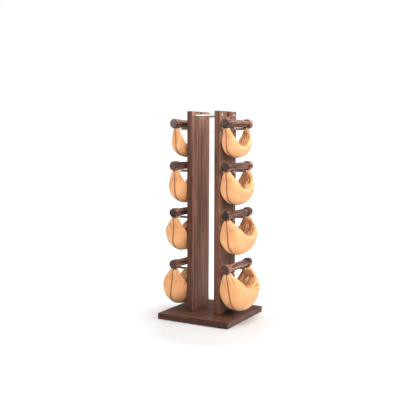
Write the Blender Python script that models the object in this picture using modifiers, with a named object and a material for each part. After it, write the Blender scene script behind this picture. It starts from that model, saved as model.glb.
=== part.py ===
"""Walnut tower for eight swing weights, four on each side.

Two upright boards stand on a square base and are tied near the top by two steel
spacer rods. Each board carries four pairs of steel pins. A turned wooden handle
lies across each pair, and a leather bag of iron shot hangs below it by two necks.

Metres. +Z is up and the origin is at the middle of the footprint, on the floor.
+X points out of the right-hand board, -Y is the front.
"""
import math

import bmesh
import bpy
from mathutils import Vector

# Boards
BASE_SIDE = 0.350
BOARD = 0.026                # thickness of the base and of both uprights
UPRIGHT_WIDTH = 0.158
UPRIGHT_SPACING = 0.110      # clear space between the uprights
TOWER_HEIGHT = 0.922
BOARD_EDGE = 0.0015          # softened edges
EDGE_SEGMENTS = 2

# Pads under the base
FOOT_RADIUS = 0.015
FOOT_HEIGHT = 0.002
FOOT_INSET = 0.035           # from the edge of the base to the pad's centre
FOOT_SIDES = 16

# Keyhole in the top edge of each upright
KEYHOLE_SLOT = 0.013         # width
KEYHOLE_RADIUS = 0.010
KEYHOLE_DEPTH = 0.015        # from the top edge to the centre of its round end

# Steel pins that carry the handles
PIN_RADIUS = 0.005
PIN_REACH = 0.065            # out of the upright's outer face
PIN_SEAT = 0.018             # into the upright
PIN_HALF_SPACING = 0.058
PIN_CHAMFER = 0.0008
PIN_SIDES = 12

# Spacer rods between the uprights, and the screws that hold them
ROD_RADIUS = 0.006
ROD_HALF_SPACING = 0.058
ROD_DROP = 0.018             # below the top edge
ROD_SIDES = 16
ROD_BORE_DEPTH = 0.021
SCREW_RADIUS = 0.003
SCREW_HEAD_RADIUS = 0.0065
SCREW_HEAD_HEIGHT = 0.0030
SCREW_DOME_STEPS = 2
SCREW_SIDES = 12
SOCKET_RADIUS = 0.0023       # across the corners of the hexagon
SOCKET_DEPTH = 0.0018
ROD_SCREW_REACH = 0.019      # into the rod

# Screws up through the base into each upright
BASE_SCREW_HALF_SPACING = 0.045
BASE_SCREW_HEAD_HEIGHT = 0.005
BASE_SCREW_REACH = 0.050     # into the upright
COUNTERBORE_RADIUS = 0.0072
COUNTERBORE_DEPTH = 0.009

# Swing weights
HANDLE_LENGTH = 0.238
GRIP_RADIUS = 0.017
KNOB_RADIUS = 0.021
KNOB_LENGTH = 0.032
KNOB_EDGE = 0.0035
KNOB_EDGE_STEPS = 2
HANDLE_SIDES = 20

NECK_CENTRE = 0.098          # from the middle of the handle to each neck
NECK_HALF_LENGTH = 0.0075    # along the handle
NECK_HALF_WIDTH = 0.014      # across the handle
EMPTY_HALF_SPAN = 0.100      # from the middle of the bag to its end, with no shot in it
SPAN_PER_KG = 0.001
WIDEST_SHARE = 0.62          # the end lies this share of the way down
RIM_SHARE = 0.30             # the widest line of a section, down from its upper side
LEATHER = 0.002
BAG_RINGS = 6                # from a neck to the middle
BAG_SIDES = 12
FILL_RINGS = 4
FILL_SIDES = 8
FILL_START = 0.22            # share of the way from the neck to the middle
FILL_INSET = 0.0075          # from the bag's outer surface to the shot
IRON_DENSITY = 7200.0        # kg per cubic metre

GAP = 0.0003                 # between pieces that touch

# From the top down. weight is in kg and axis is the height of the handle's axis. offset
# runs from the upright's outer face to that axis. gap and depth run from the axis to the
# bag's upper and lower side in the middle, and lean is how far, in degrees, the upright
# holds the bag out.
LEVELS = (
    {
        "weight": 2, "axis": 0.8680, "offset": 0.044,
        "gap": 0.095, "depth": 0.146, "half_width": 0.0330, "lean": 0.0,
    },
    {
        "weight": 4, "axis": 0.6820, "offset": 0.047,
        "gap": 0.093, "depth": 0.167, "half_width": 0.0450, "lean": 1.0,
    },
    {
        "weight": 6, "axis": 0.4740, "offset": 0.048,
        "gap": 0.094, "depth": 0.179, "half_width": 0.0535, "lean": 4.5,
    },
    {
        "weight": 8, "axis": 0.2415, "offset": 0.050,
        "gap": 0.094, "depth": 0.197, "half_width": 0.0615, "lean": 8.0,
    },
)
SIDES = (("right", 1), ("left", -1))
ENDS = (("front", -1), ("back", 1))

# Worked out from the above
BASE_TOP = FOOT_HEIGHT + BOARD
OUTER_FACE = UPRIGHT_SPACING / 2 + BOARD
UPRIGHT_MIDDLE = UPRIGHT_SPACING / 2 + BOARD / 2
PIN_DROP = GRIP_RADIUS + PIN_RADIUS + GAP
ROD_HEIGHT = TOWER_HEIGHT - ROD_DROP
NECK_DROP = KNOB_RADIUS + 2 * GAP

WALNUT = {"color": (0.105, 0.045, 0.028), "roughness": 0.55, "metallic": 0.0}
HANDLE_WOOD = {"color": (0.075, 0.032, 0.022), "roughness": 0.50, "metallic": 0.0}
STEEL = {"color": (0.62, 0.61, 0.59), "roughness": 0.28, "metallic": 1.0}
TAN_LEATHER = {"color": (0.80, 0.47, 0.24), "roughness": 0.60, "metallic": 0.0}
IRON_SHOT = {"color": (0.16, 0.16, 0.17), "roughness": 0.65, "metallic": 1.0}
RUBBER = {"color": (0.03, 0.03, 0.03), "roughness": 0.85, "metallic": 0.0}


def clear_scene():
    for obj in list(bpy.data.objects):
        bpy.data.objects.remove(obj)


def make_collection(name):
    collection = bpy.data.collections.new(name)
    bpy.context.scene.collection.children.link(collection)
    return collection


def make_material(name, look):
    material = bpy.data.materials.new(name)
    material.use_nodes = True
    shader = material.node_tree.nodes["Principled BSDF"]
    shader.inputs["Base Color"].default_value = (*look["color"], 1.0)
    shader.inputs["Roughness"].default_value = look["roughness"]
    shader.inputs["Metallic"].default_value = look["metallic"]
    return material


def add_part(name, mesh, look, location=(0, 0, 0), rotation=(0, 0, 0), parent=None):
    """Put one sub-part in the tower's collection, with a material of its own."""
    obj = bpy.data.objects.new(name, mesh)
    parts.objects.link(obj)
    obj.parent = parent
    obj.location = location
    obj.rotation_euler = rotation
    obj.data.materials.clear()
    obj.data.materials.append(None)
    obj.material_slots[0].link = "OBJECT"
    obj.material_slots[0].material = make_material(name, look)
    return obj


def add_axis(name, location, rotation=(0, 0, 0), parent=None):
    axis = bpy.data.objects.new(name, None)
    parts.objects.link(axis)
    axis.empty_display_size = 0.02
    axis.parent = parent
    axis.location = location
    axis.rotation_euler = rotation
    return axis


def box_mesh(name, size):
    mesh = bpy.data.meshes.new(name)
    bm = bmesh.new()
    bmesh.ops.create_cube(bm, size=1.0)
    bmesh.ops.scale(bm, vec=Vector(size), verts=bm.verts)
    bm.to_mesh(mesh)
    bm.free()
    return mesh


def cylinder_mesh(name, radius, length, sides):
    """Along Z, centred on its own origin."""
    mesh = bpy.data.meshes.new(name)
    bm = bmesh.new()
    bmesh.ops.create_cone(
        bm, cap_ends=True, segments=sides, radius1=radius, radius2=radius, depth=length
    )
    bm.to_mesh(mesh)
    bm.free()
    return mesh


def profile_mesh(name, points):
    """An open line of (radius, height) points in the XZ plane, listed top to bottom."""
    mesh = bpy.data.meshes.new(name)
    bm = bmesh.new()
    verts = [bm.verts.new((radius, 0.0, height)) for radius, height in points]
    for upper, lower in zip(verts, verts[1:]):
        bm.edges.new((upper, lower))
    bm.to_mesh(mesh)
    bm.free()
    return mesh


def turn(obj, sides):
    """Turn a profile about its own Z axis."""
    screw = obj.modifiers.new("turned", "SCREW")
    screw.axis = "Z"
    screw.angle = math.tau
    screw.steps = sides
    screw.render_steps = sides
    screw.use_merge_vertices = True
    screw.merge_threshold = 0.00001
    screw.use_smooth_shade = True


def soften_edges(obj, width):
    bevel = obj.modifiers.new("softened_edges", "BEVEL")
    bevel.width = width
    bevel.segments = EDGE_SEGMENTS
    bevel.limit_method = "ANGLE"


def add_cutter(name, mesh, location, rotation=(0, 0, 0)):
    cutter = bpy.data.objects.new(name, mesh)
    cutters.objects.link(cutter)
    cutter.location = location
    cutter.rotation_euler = rotation
    cutter.hide_render = True
    cutter.display_type = "WIRE"
    return cutter


def cut(obj, cutter):
    boolean = obj.modifiers.new(cutter.name, "BOOLEAN")
    boolean.operation = "DIFFERENCE"
    boolean.solver = "EXACT"
    boolean.object = cutter


def arc(centre, radius, start, end, steps):
    """Points from start to end, in degrees measured from the outward direction."""
    angles = [math.radians(start + (end - start) * i / steps) for i in range(steps + 1)]
    return [(centre[0] + radius * math.cos(a), centre[1] + radius * math.sin(a)) for a in angles]


# Boards

def build_base():
    mesh = box_mesh("base_plate", (BASE_SIDE, BASE_SIDE, BOARD))
    base = add_part("base_plate", mesh, WALNUT, (0, 0, FOOT_HEIGHT + BOARD / 2))
    soften_edges(base, BOARD_EDGE)
    hole = cylinder_mesh("base_screw_hole", SCREW_RADIUS + GAP, BOARD * 2, SCREW_SIDES)
    recess = cylinder_mesh("base_counterbore", COUNTERBORE_RADIUS, COUNTERBORE_DEPTH * 2, SCREW_SIDES)
    for side, sign in SIDES:
        for end, y_sign in ENDS:
            x, y = sign * UPRIGHT_MIDDLE, y_sign * BASE_SCREW_HALF_SPACING
            cut(base, add_cutter(f"cut_base_hole_{side}_{end}", hole, (x, y, BASE_TOP - BOARD / 2)))
            cut(base, add_cutter(f"cut_counterbore_{side}_{end}", recess, (x, y, FOOT_HEIGHT)))


def build_feet():
    height = FOOT_HEIGHT - GAP
    mesh = cylinder_mesh("foot", FOOT_RADIUS, height, FOOT_SIDES)
    reach = BASE_SIDE / 2 - FOOT_INSET
    for side, sign in SIDES:
        for end, y_sign in ENDS:
            add_part(f"foot_{end}_{side}", mesh.copy(), RUBBER, (sign * reach, y_sign * reach, height / 2))


def build_uprights():
    height = TOWER_HEIGHT - BASE_TOP - GAP
    middle = TOWER_HEIGHT - height / 2
    across = (0, math.pi / 2, 0)
    slot = box_mesh("keyhole_slot", (BOARD * 2, KEYHOLE_SLOT, KEYHOLE_DEPTH * 2))
    eye = cylinder_mesh("keyhole_eye", KEYHOLE_RADIUS, BOARD * 2, PIN_SIDES)
    pin_hole = cylinder_mesh("pin_hole", PIN_RADIUS + GAP, (PIN_SEAT + GAP) * 2, PIN_SIDES)
    rod_hole = cylinder_mesh("rod_screw_hole", SCREW_RADIUS + GAP, BOARD * 2, SCREW_SIDES)
    base_hole = cylinder_mesh(
        "upright_screw_hole", SCREW_RADIUS + GAP, (BASE_SCREW_REACH + 2 * GAP) * 2, SCREW_SIDES
    )
    for side, sign in SIDES:
        x, face = sign * UPRIGHT_MIDDLE, sign * OUTER_FACE
        mesh = box_mesh(f"{side}_upright", (BOARD, UPRIGHT_WIDTH, height))
        upright = add_part(f"{side}_upright", mesh, WALNUT, (x, 0, middle))
        soften_edges(upright, BOARD_EDGE)
        eye_height = TOWER_HEIGHT - KEYHOLE_DEPTH
        cut(upright, add_cutter(f"cut_slot_{side}", slot, (x, 0, TOWER_HEIGHT)))
        cut(upright, add_cutter(f"cut_eye_{side}", eye, (x, 0, eye_height), across))
        for end, y_sign in ENDS:
            y = y_sign * ROD_HALF_SPACING
            cut(upright, add_cutter(f"cut_rod_{side}_{end}", rod_hole, (x, y, ROD_HEIGHT), across))
            y = y_sign * BASE_SCREW_HALF_SPACING
            cut(upright, add_cutter(f"cut_foot_{side}_{end}", base_hole, (x, y, BASE_TOP + GAP)))
            for level in LEVELS:
                name = f"cut_pin_{side}_{end}_{level['weight']}"
                place = (face, y_sign * PIN_HALF_SPACING, level["axis"] - PIN_DROP)
                cut(upright, add_cutter(name, pin_hole, place, across))


# Metalwork

def build_pins():
    """Each pin points along +Z in its own frame, from its seat to its tip."""
    profile = [
        (0.0, PIN_REACH),
        (PIN_RADIUS - PIN_CHAMFER, PIN_REACH),
        (PIN_RADIUS, PIN_REACH - PIN_CHAMFER),
        (PIN_RADIUS, -PIN_SEAT),
        (0.0, -PIN_SEAT),
    ]
    for level in LEVELS:
        for side, sign in SIDES:
            for end, y_sign in ENDS:
                name = f"{side}_{level['weight']}kg_pin_{end}"
                place = (sign * OUTER_FACE, y_sign * PIN_HALF_SPACING, level["axis"] - PIN_DROP)
                pin = add_part(name, profile_mesh(name, profile), STEEL, place, (0, sign * math.pi / 2, 0))
                turn(pin, PIN_SIDES)


def build_rods():
    """Each rod is bored at both ends for its screws."""
    half = UPRIGHT_SPACING / 2 - GAP
    bore = SCREW_RADIUS + GAP
    floor = half - ROD_BORE_DEPTH
    profile = [
        (0.0, floor),
        (bore, floor),
        (bore, half),
        (ROD_RADIUS, half),
        (ROD_RADIUS, -half),
        (bore, -half),
        (bore, -floor),
        (0.0, -floor),
    ]
    for end, y_sign in ENDS:
        name = f"spacer_rod_{end}"
        place = (0, y_sign * ROD_HALF_SPACING, ROD_HEIGHT)
        rod = add_part(name, profile_mesh(name, profile), STEEL, place, (0, math.pi / 2, 0))
        turn(rod, ROD_SIDES)


def screw_profile(head_height, reach):
    """Button head above the origin, shank below it."""
    crown = SCREW_HEAD_RADIUS * 0.55
    dome = []
    for i in range(SCREW_DOME_STEPS + 1):
        angle = math.pi / 2 * (1 - i / SCREW_DOME_STEPS)
        radius = crown + (SCREW_HEAD_RADIUS - crown) * math.cos(angle)
        dome.append((radius, head_height * (0.35 + 0.65 * math.sin(angle))))
    return [
        (0.0, head_height),
        *dome,
        (SCREW_HEAD_RADIUS, 0.0),
        (SCREW_RADIUS, 0.0),
        (SCREW_RADIUS, -reach),
        (0.0, -reach),
    ]


def build_rod_screws():
    profile = screw_profile(SCREW_HEAD_HEIGHT, BOARD + ROD_SCREW_REACH)
    socket = cylinder_mesh("hex_socket", SOCKET_RADIUS, SOCKET_DEPTH * 2, 6)
    for side, sign in SIDES:
        for end, y_sign in ENDS:
            name = f"rod_screw_{side}_{end}"
            y = y_sign * ROD_HALF_SPACING
            turned = (0, sign * math.pi / 2, 0)
            place = (sign * (OUTER_FACE + GAP), y, ROD_HEIGHT)
            screw = add_part(name, profile_mesh(name, profile), STEEL, place, turned)
            turn(screw, SCREW_SIDES)
            crown = (sign * (OUTER_FACE + GAP + SCREW_HEAD_HEIGHT), y, ROD_HEIGHT)
            cut(screw, add_cutter(f"cut_{name}", socket, crown, turned))


def build_base_screws():
    """Heads sit in the counterbores under the base, shanks point up."""
    seat = FOOT_HEIGHT + COUNTERBORE_DEPTH - GAP
    reach = BASE_TOP - seat + BASE_SCREW_REACH
    profile = screw_profile(BASE_SCREW_HEAD_HEIGHT, reach)
    for side, sign in SIDES:
        for end, y_sign in ENDS:
            name = f"base_screw_{side}_{end}"
            place = (sign * UPRIGHT_MIDDLE, y_sign * BASE_SCREW_HALF_SPACING, seat)
            screw = add_part(name, profile_mesh(name, profile), STEEL, place, (math.pi, 0, 0))
            turn(screw, SCREW_SIDES)


# Swing weights

def handle_profile():
    """A plain grip between two larger knobs with rounded edges."""
    half = HANDLE_LENGTH / 2
    inner = half - KNOB_LENGTH
    rim = KNOB_RADIUS - KNOB_EDGE
    upper = [
        (0.0, half),
        *arc((rim, half - KNOB_EDGE), KNOB_EDGE, 90, 0, KNOB_EDGE_STEPS),
        (KNOB_RADIUS, inner + KNOB_EDGE / 2),
        (KNOB_RADIUS - KNOB_EDGE / 2, inner),
        (GRIP_RADIUS, inner),
    ]
    lower = [(radius, -height) for radius, height in reversed(upper)]
    return upper + lower


def bezier(a, b, c, d, t):
    s = 1.0 - t
    return s ** 3 * a + 3 * s * s * t * b + 3 * s * t * t * c + t ** 3 * d


def outer_outline(level, t):
    """Keel of the bag in its own (Y, Z) plane, from a neck (t=0) to the middle (t=1)."""
    widest = -WIDEST_SHARE * level["depth"]
    neck = Vector((NECK_CENTRE + NECK_HALF_LENGTH, -NECK_DROP))
    end = Vector((EMPTY_HALF_SPAN + SPAN_PER_KG * level["weight"], widest))
    drop = -NECK_DROP - widest
    rise = level["depth"] + widest
    if t < 0.5:
        below_neck = Vector(((neck.x + end.x) / 2, neck.y - 0.33 * drop))
        above_end = Vector((end.x, end.y + 0.40 * drop))
        return bezier(neck, below_neck, above_end, end, 2 * t)
    below_end = Vector((end.x, end.y - 0.60 * rise))
    beside_middle = Vector((0.58 * end.x, -level["depth"]))
    return bezier(end, below_end, beside_middle, Vector((0.0, -level["depth"])), 2 * t - 1)


def inner_outline(level, t):
    """Upper side of the bag, below the hand."""
    neck = Vector((NECK_CENTRE - NECK_HALF_LENGTH, -NECK_DROP))
    below_neck = Vector((neck.x - 0.010, -NECK_DROP - 0.55 * (level["gap"] - NECK_DROP)))
    beside_middle = Vector((0.050, -level["gap"]))
    return bezier(neck, below_neck, beside_middle, Vector((0.0, -level["gap"])), t)


def half_width(level, t):
    swell = math.sin(math.pi / 2 * min(t / WIDEST_SHARE, 1.0)) ** 1.1
    return NECK_HALF_WIDTH + (level["half_width"] - NECK_HALF_WIDTH) * swell


def bag_ring(level, t, mirrored, sides, inset=0.0, share=1.0):
    """One section, drawn in by inset, then shrunk by share towards the keel.

    It is an oval that is widest near its upper side, where the hand goes.
    """
    keel, top = outer_outline(level, t), inner_outline(level, t)
    span = keel - top
    inward = span.normalized() * inset
    keel, span = keel - inward, (span - 2 * inward) * share
    middle = keel - span * (1.0 - RIM_SHARE)
    width = (half_width(level, t) - inset) * share
    ring = []
    for i in range(sides):
        angle = math.tau * i / sides
        reach = 1.0 - RIM_SHARE if math.cos(angle) > 0 else RIM_SHARE
        point = middle + span * (reach * math.cos(angle))
        y = -point.x if mirrored else point.x
        ring.append(Vector((width * math.sin(angle), y, point.y)))
    return ring


def loft(name, rings, capped):
    """Skin a row of rings that have the same number of points."""
    mesh = bpy.data.meshes.new(name)
    bm = bmesh.new()
    rows = [[bm.verts.new(point) for point in ring] for ring in rings]
    for row, following in zip(rows, rows[1:]):
        for i in range(len(row)):
            j = (i + 1) % len(row)
            bm.faces.new((row[i], row[j], following[j], following[i]))
    if capped:
        bm.faces.new(rows[0])
        bm.faces.new(rows[-1])
    bmesh.ops.recalc_face_normals(bm, faces=bm.faces)
    bm.to_mesh(mesh)
    volume = abs(bm.calc_volume(signed=True))
    bm.free()
    return mesh, volume


def bag_rings(level, start, count, sides, inset=0.0, share=1.0):
    """Rings from one neck, through the middle, to the other neck."""
    steps = [start + (1.0 - start) * i / count for i in range(count + 1)]
    near = [bag_ring(level, t, True, sides, inset, share) for t in steps]
    far = [bag_ring(level, t, False, sides, inset, share) for t in reversed(steps[:-1])]
    return near + far


def build_bag(level, name, parent):
    mesh, _ = loft(name, bag_rings(level, 0.0, BAG_RINGS, BAG_SIDES), capped=False)
    mesh.shade_smooth()
    bag = add_part(name, mesh, TAN_LEATHER, parent=parent)
    wall = bag.modifiers.new("leather", "SOLIDIFY")
    wall.thickness = LEATHER
    wall.offset = -1.0
    wall.use_even_offset = False


def build_fill(level, name, parent):
    """Loose shot lies against the keel. As solid iron of its own weight it is slimmer."""
    shape = (level, FILL_START, FILL_RINGS, FILL_SIDES, FILL_INSET)
    _, full_volume = loft(name, bag_rings(*shape), capped=True)
    share = math.sqrt(level["weight"] / IRON_DENSITY / full_volume)
    mesh, _ = loft(name, bag_rings(*shape, share=min(share, 1.0)), capped=True)
    add_part(name, mesh, IRON_SHOT, parent=parent)


def build_weights():
    """Handle, bag and shot of each weight hang from an empty on the handle's axis."""
    for level in LEVELS:
        for side, sign in SIDES:
            stem = f"{side}_{level['weight']}kg"
            facing = (0, 0, 0 if sign > 0 else math.pi)
            place = (sign * (OUTER_FACE + level["offset"]), 0, level["axis"])
            axis = add_axis(f"{stem}_axis", place, facing)
            handle = add_part(
                f"{stem}_handle",
                profile_mesh(f"{stem}_handle", handle_profile()),
                HANDLE_WOOD,
                rotation=(math.pi / 2, 0, 0),
                parent=axis,
            )
            turn(handle, HANDLE_SIDES)
            swing = add_axis(f"{stem}_swing", (0, 0, 0), (0, -math.radians(level["lean"]), 0), axis)
            build_bag(level, f"{stem}_leather_bag", swing)
            build_fill(level, f"{stem}_shot_fill", swing)


clear_scene()
parts = make_collection("swing_weight_tower")
cutters = make_collection("cutters")
build_base()
build_feet()
build_uprights()
build_pins()
build_rods()
build_rod_screws()
build_base_screws()
build_weights()
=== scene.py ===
"""Looks for a walnut tower that carries eight leather swing weights.

Metres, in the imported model's frame: +Z up, +X out of the right-hand board, -Y the front.
"""

import math
import random

import bpy
import numpy as np
from mathutils import Matrix, Vector, noise
from mathutils.bvhtree import BVHTree


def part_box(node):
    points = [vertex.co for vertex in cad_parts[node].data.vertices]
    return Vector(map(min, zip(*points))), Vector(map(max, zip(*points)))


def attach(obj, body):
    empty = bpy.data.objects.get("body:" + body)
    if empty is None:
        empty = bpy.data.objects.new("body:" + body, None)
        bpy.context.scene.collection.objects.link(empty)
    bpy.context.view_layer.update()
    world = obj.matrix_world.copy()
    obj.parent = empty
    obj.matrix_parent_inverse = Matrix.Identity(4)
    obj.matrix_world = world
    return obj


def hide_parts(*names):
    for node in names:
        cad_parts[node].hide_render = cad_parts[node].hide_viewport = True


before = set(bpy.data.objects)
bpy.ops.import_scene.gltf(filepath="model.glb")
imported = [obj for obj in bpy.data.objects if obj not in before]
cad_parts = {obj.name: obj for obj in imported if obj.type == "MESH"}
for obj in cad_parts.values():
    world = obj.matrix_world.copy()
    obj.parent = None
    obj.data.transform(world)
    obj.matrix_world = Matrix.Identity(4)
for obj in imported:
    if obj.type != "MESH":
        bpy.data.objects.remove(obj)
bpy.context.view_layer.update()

# From the top down. weight to lean are the imported bag's own: kg, metres from the handle's axis
# to its upper and its lower side in the middle, half its width, and degrees off the vertical.
# The others are for the looks:
#   neck       half the width of a neck
#   crease     where the filled part starts, as a share of the way from a neck to the middle
#   plump      how far the boxy section of a strap gives way to a round one in the filled part
#   sink       depth of the fold across the side at the crease
#   shift      how far the hollow lies towards +Y in the bag's own frame
#   inset      grid columns by which the lining and its painted shade are set back from a rim in the middle
#   swings_in  degrees that the bag can swing towards its upright
LEVELS = (
    {
        "weight": 2, "gap": 0.095, "depth": 0.146, "half_width": 0.0330, "lean": 0.0,
        "neck": 0.0092, "crease": 0.34, "plump": 0.40, "sink": 0.0004, "shift": 0.014,
        "inset": 2.0, "swings_in": 5.0,
    },
    {
        "weight": 4, "gap": 0.093, "depth": 0.167, "half_width": 0.0450, "lean": 1.0,
        "neck": 0.0103, "crease": 0.42, "plump": 0.50, "sink": 0.0020, "shift": 0.014,
        "inset": 3.0, "swings_in": 0.0,
    },
    {
        "weight": 6, "gap": 0.094, "depth": 0.179, "half_width": 0.0535, "lean": 4.5,
        "neck": 0.0108, "crease": 0.32, "plump": 0.30, "sink": 0.0040, "shift": 0.023,
        "inset": 4.0, "swings_in": 0.0,
    },
    {
        "weight": 8, "gap": 0.094, "depth": 0.197, "half_width": 0.0615, "lean": 8.0,
        "neck": 0.0125, "crease": 0.44, "plump": 0.90, "sink": 0.0052, "shift": 0.009,
        "inset": 7.0, "swings_in": 0.0,
    },
)
SIDES = ("right", "left")
ENDS = ("front", "back")

# Steel bars
PIN_TIP = 0.0012             # radius of the rounded tip
PIN_EDGE = 0.0004
PIN_SIDES = 32
ROD_EDGE = 0.0005
ROD_SIDES = 48

# Rod screws
SCREW_RADIUS = 0.0030
SCREW_HEAD_RADIUS = 0.0065
SCREW_HEAD_HEIGHT = 0.0030
SCREW_RIM = 0.0010           # height at which the dome starts
SCREW_DOME_STEPS = 8
SCREW_SIDES = 36
SOCKET_RADIUS = 0.0023       # across the corners of the hexagon
SOCKET_DEPTH = 0.0018
SOCKET_MOUTH = 1.12          # share by which it widens at the top
SOCKET_EDGE = 0.0003

# Handles
GRIP_RADIUS = 0.0166
KNOB_RADIUS = 0.021
KNOB_LENGTH = 0.032
KNOB_ROUND = 0.0040
KNOB_ARRIS = 0.0008          # rounding of a knob's inner edge
GRIP_FILLET = 0.0005         # where the grip meets a knob
GRIP_STEPS = 12
HANDLE_SIDES = 72
HANDLE_WOBBLE = 0.00018

# Bags, each in the plane of its own handle: Y along the handle, Z up from its axis
NECK_CENTRE = 0.1005
NECK_HALF_LENGTH = 0.0065
NECK_DROP = 0.0216
NECK_CLEARANCE = 0.0006      # below the knob
KNOB_CLEARANCE = 0.0004      # after the cloth has settled
CAP_CLEARANCE = 0.0016       # at the middle of a neck's flat end
EMPTY_HALF_SPAN = 0.100
SPAN_PER_KG = 0.001
WIDEST_SHARE = 0.62
RIM_SHARE = 0.30
OUTLINE_STEPS = 160          # along each part of a section, before its columns are spaced
ROWS = 34                    # from a neck to the middle
SIDE_COLUMNS = 22            # from the keel to a rim
TOP_COLUMNS = 18             # from a rim to the middle of the upper face
RIM_ANGLE = math.radians(135)
FACE_CLEARANCE = 0.0014      # between a bag and the upright
NEAR_SINK = 0.10             # depth of the fold at the -Y end, as a share of the +Y end's
CRUMPLE = 0.0020
RIPPLE = 0.0007
RIM_PINCH = 0.0022
SEAM_DRAW = 0.0009
PUCKERS = 4                  # at each end of the hollow, on each side
PUCKER_NEAR = 0.5            # depth of those at the -Y end, as a share of the others'
PUCKER_FROM = 0.012          # beyond the middle of the hollow
PUCKER_BELOW = 0.004         # below the upper face
PUCKER_LOWEST = -38.0        # degrees from level, then the angle over which they fan out
PUCKER_FAN = 92.0

# Cloth
CLOTH_FRAMES = 20
CLOTH = {
    "quality": 6,
    "mass": 0.35,
    "tension_stiffness": 22.0,
    "compression_stiffness": 22.0,
    "shear_stiffness": 12.0,
    "bending_stiffness": 1.6,
    "use_pressure": True,
    "uniform_pressure_force": 4.0,
    "shrink_min": -0.012,
}
HELD_ROWS = (2.0, 9.0)       # from a neck: held fully up to the first, free from the second
EMPTY_CAP = 0.0045           # farthest that a point may move, with no shot in the bag
CAP_PER_KG = 0.0005

# Seam along the keel
SEAM_OUTLINE = (
    (-0.0021, -0.0012), (-0.0022, 0.0010), (-0.0018, 0.0017), (-0.0010, 0.0020), (-0.0004, 0.0019),
    (0.0000, 0.0013), (0.0004, 0.0019), (0.0010, 0.0020), (0.0018, 0.0017), (0.0022, 0.0010),
    (0.0021, -0.0012),
)
SEAM_STEPS = 4               # between two rows of the bag
SEAM_WANDER = 0.00035
STITCH_SPACING = 0.0052
STITCH_LENGTH = 0.0036
STITCH_RADIUS = 0.00050
STITCH_OFFSET = 0.0050       # from the seam
STITCH_MARGIN = 0.010        # from each end of the seam
STITCH_LIFT = 0.00022
STITCH_SINK = 0.00035        # of its two ends
STITCH_SIDES = 8
STITCH_RINGS = ((-1.0, 0.25), (-0.82, 0.85), (-0.35, 1.0), (0.35, 1.0), (0.82, 0.85), (1.0, 0.25))

# Colours. Tones run from dark to light.
BOARD_TONES = ((0.034, 0.016, 0.011), (0.175, 0.080, 0.052), (0.420, 0.220, 0.160))
# The left board's brightness of 1.28 is painted light: the same walnut made lighter to make up for the
# shade between the two boards.
BOARDS = (                   # side, heart of the tree, brightness, tone of the narrow faces
    ("right", (0.150, 0.035, 0.0), 1.0, (0.47, 0.365, 0.285)),
    ("left", (-0.010, -0.060, 0.0), 1.28, (0.30, 0.225, 0.170)),
)
BASE_TONES = ((0.028, 0.011, 0.007), (0.086, 0.036, 0.022), (0.190, 0.090, 0.058))
BASE_HEART = (0.0, 0.04, -0.11)
BASE_EDGE = (0.50, 0.38, 0.29)
HANDLE_TONES = ((0.010, 0.004, 0.003), (0.077, 0.029, 0.018), (0.540, 0.265, 0.172))
HANDLE_END = (0.27, 0.21, 0.17)
STEEL = (0.66, 0.64, 0.60)
TAN_TONES = ((0.68, 0.310, 0.122), (0.74, 0.355, 0.146), (0.80, 0.410, 0.180))
TAN_FLECK = (0.59, 0.255, 0.100)
# Painted shade in creases and a painted highlight on ridges, placed by the hollow attribute.
TAN_CREASE_SHADE = (0.34, 0.115, 0.038)
TAN_RIDGE_HIGHLIGHT = (0.95, 0.60, 0.31)
# Painted highlight along the rims.
TAN_RIM_HIGHLIGHT = (0.93, 0.60, 0.32)
# Painted shade in the drawn-in groove beside the keel seam.
TAN_SEAM_SHADE = (0.62, 0.28, 0.105)
# The upper face: a darker lining with painted shade on top, darkest in streaks down its pleats.
LINING_AND_SHADE_TONES = ((0.12, 0.038, 0.014), (0.40, 0.165, 0.064), (0.74, 0.385, 0.180))
EDGE_TONES = ((0.250, 0.085, 0.042), (0.340, 0.128, 0.064), (0.430, 0.180, 0.090))
EDGE_FLECK = (0.16, 0.05, 0.026)

# Camera
CAMERA_AZIMUTH = 0.5026
CAMERA_PITCH = 0.0993
CAMERA_ROLL = 0.0039
CAMERA_DISTANCE = 3.1039
CAMERA_SIDE = -0.0159
CAMERA_HEIGHT = 0.4924
CAMERA_LENS = 59.77

# Studio: heights in the world are the sine of the angle above the horizon
WALL_UP_TO = 0.25
CEILING_FROM = 0.60
WALL_LIGHT = 0.55
CEILING_LIGHT = 0.14
FLOOR_SHADE = 0.72           # of the floor, as the camera sees it
SHADE_CENTRE = (0.12, -0.22, 0.0)
GLOW_FROM = 0.20             # it fades to white between these distances from that point
GLOW_TO = 0.85
FLOOR_REACH = 9.0
LIGHT_TARGET = (0.0, 0.0, 0.50)
LIGHTS = (                   # name, watts, size, place
    ("key", 32.0, (0.9, 1.1), (1.35, -1.75, 1.70)),
    ("right", 44.0, (1.0, 1.4), (2.00, 0.40, 1.60)),
    ("left", 25.0, (1.0, 1.4), (-1.50, -1.75, 1.45)),
    ("top", 30.0, (0.8, 0.8), (0.15, -0.1, 2.15)),
)


# Materials

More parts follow.
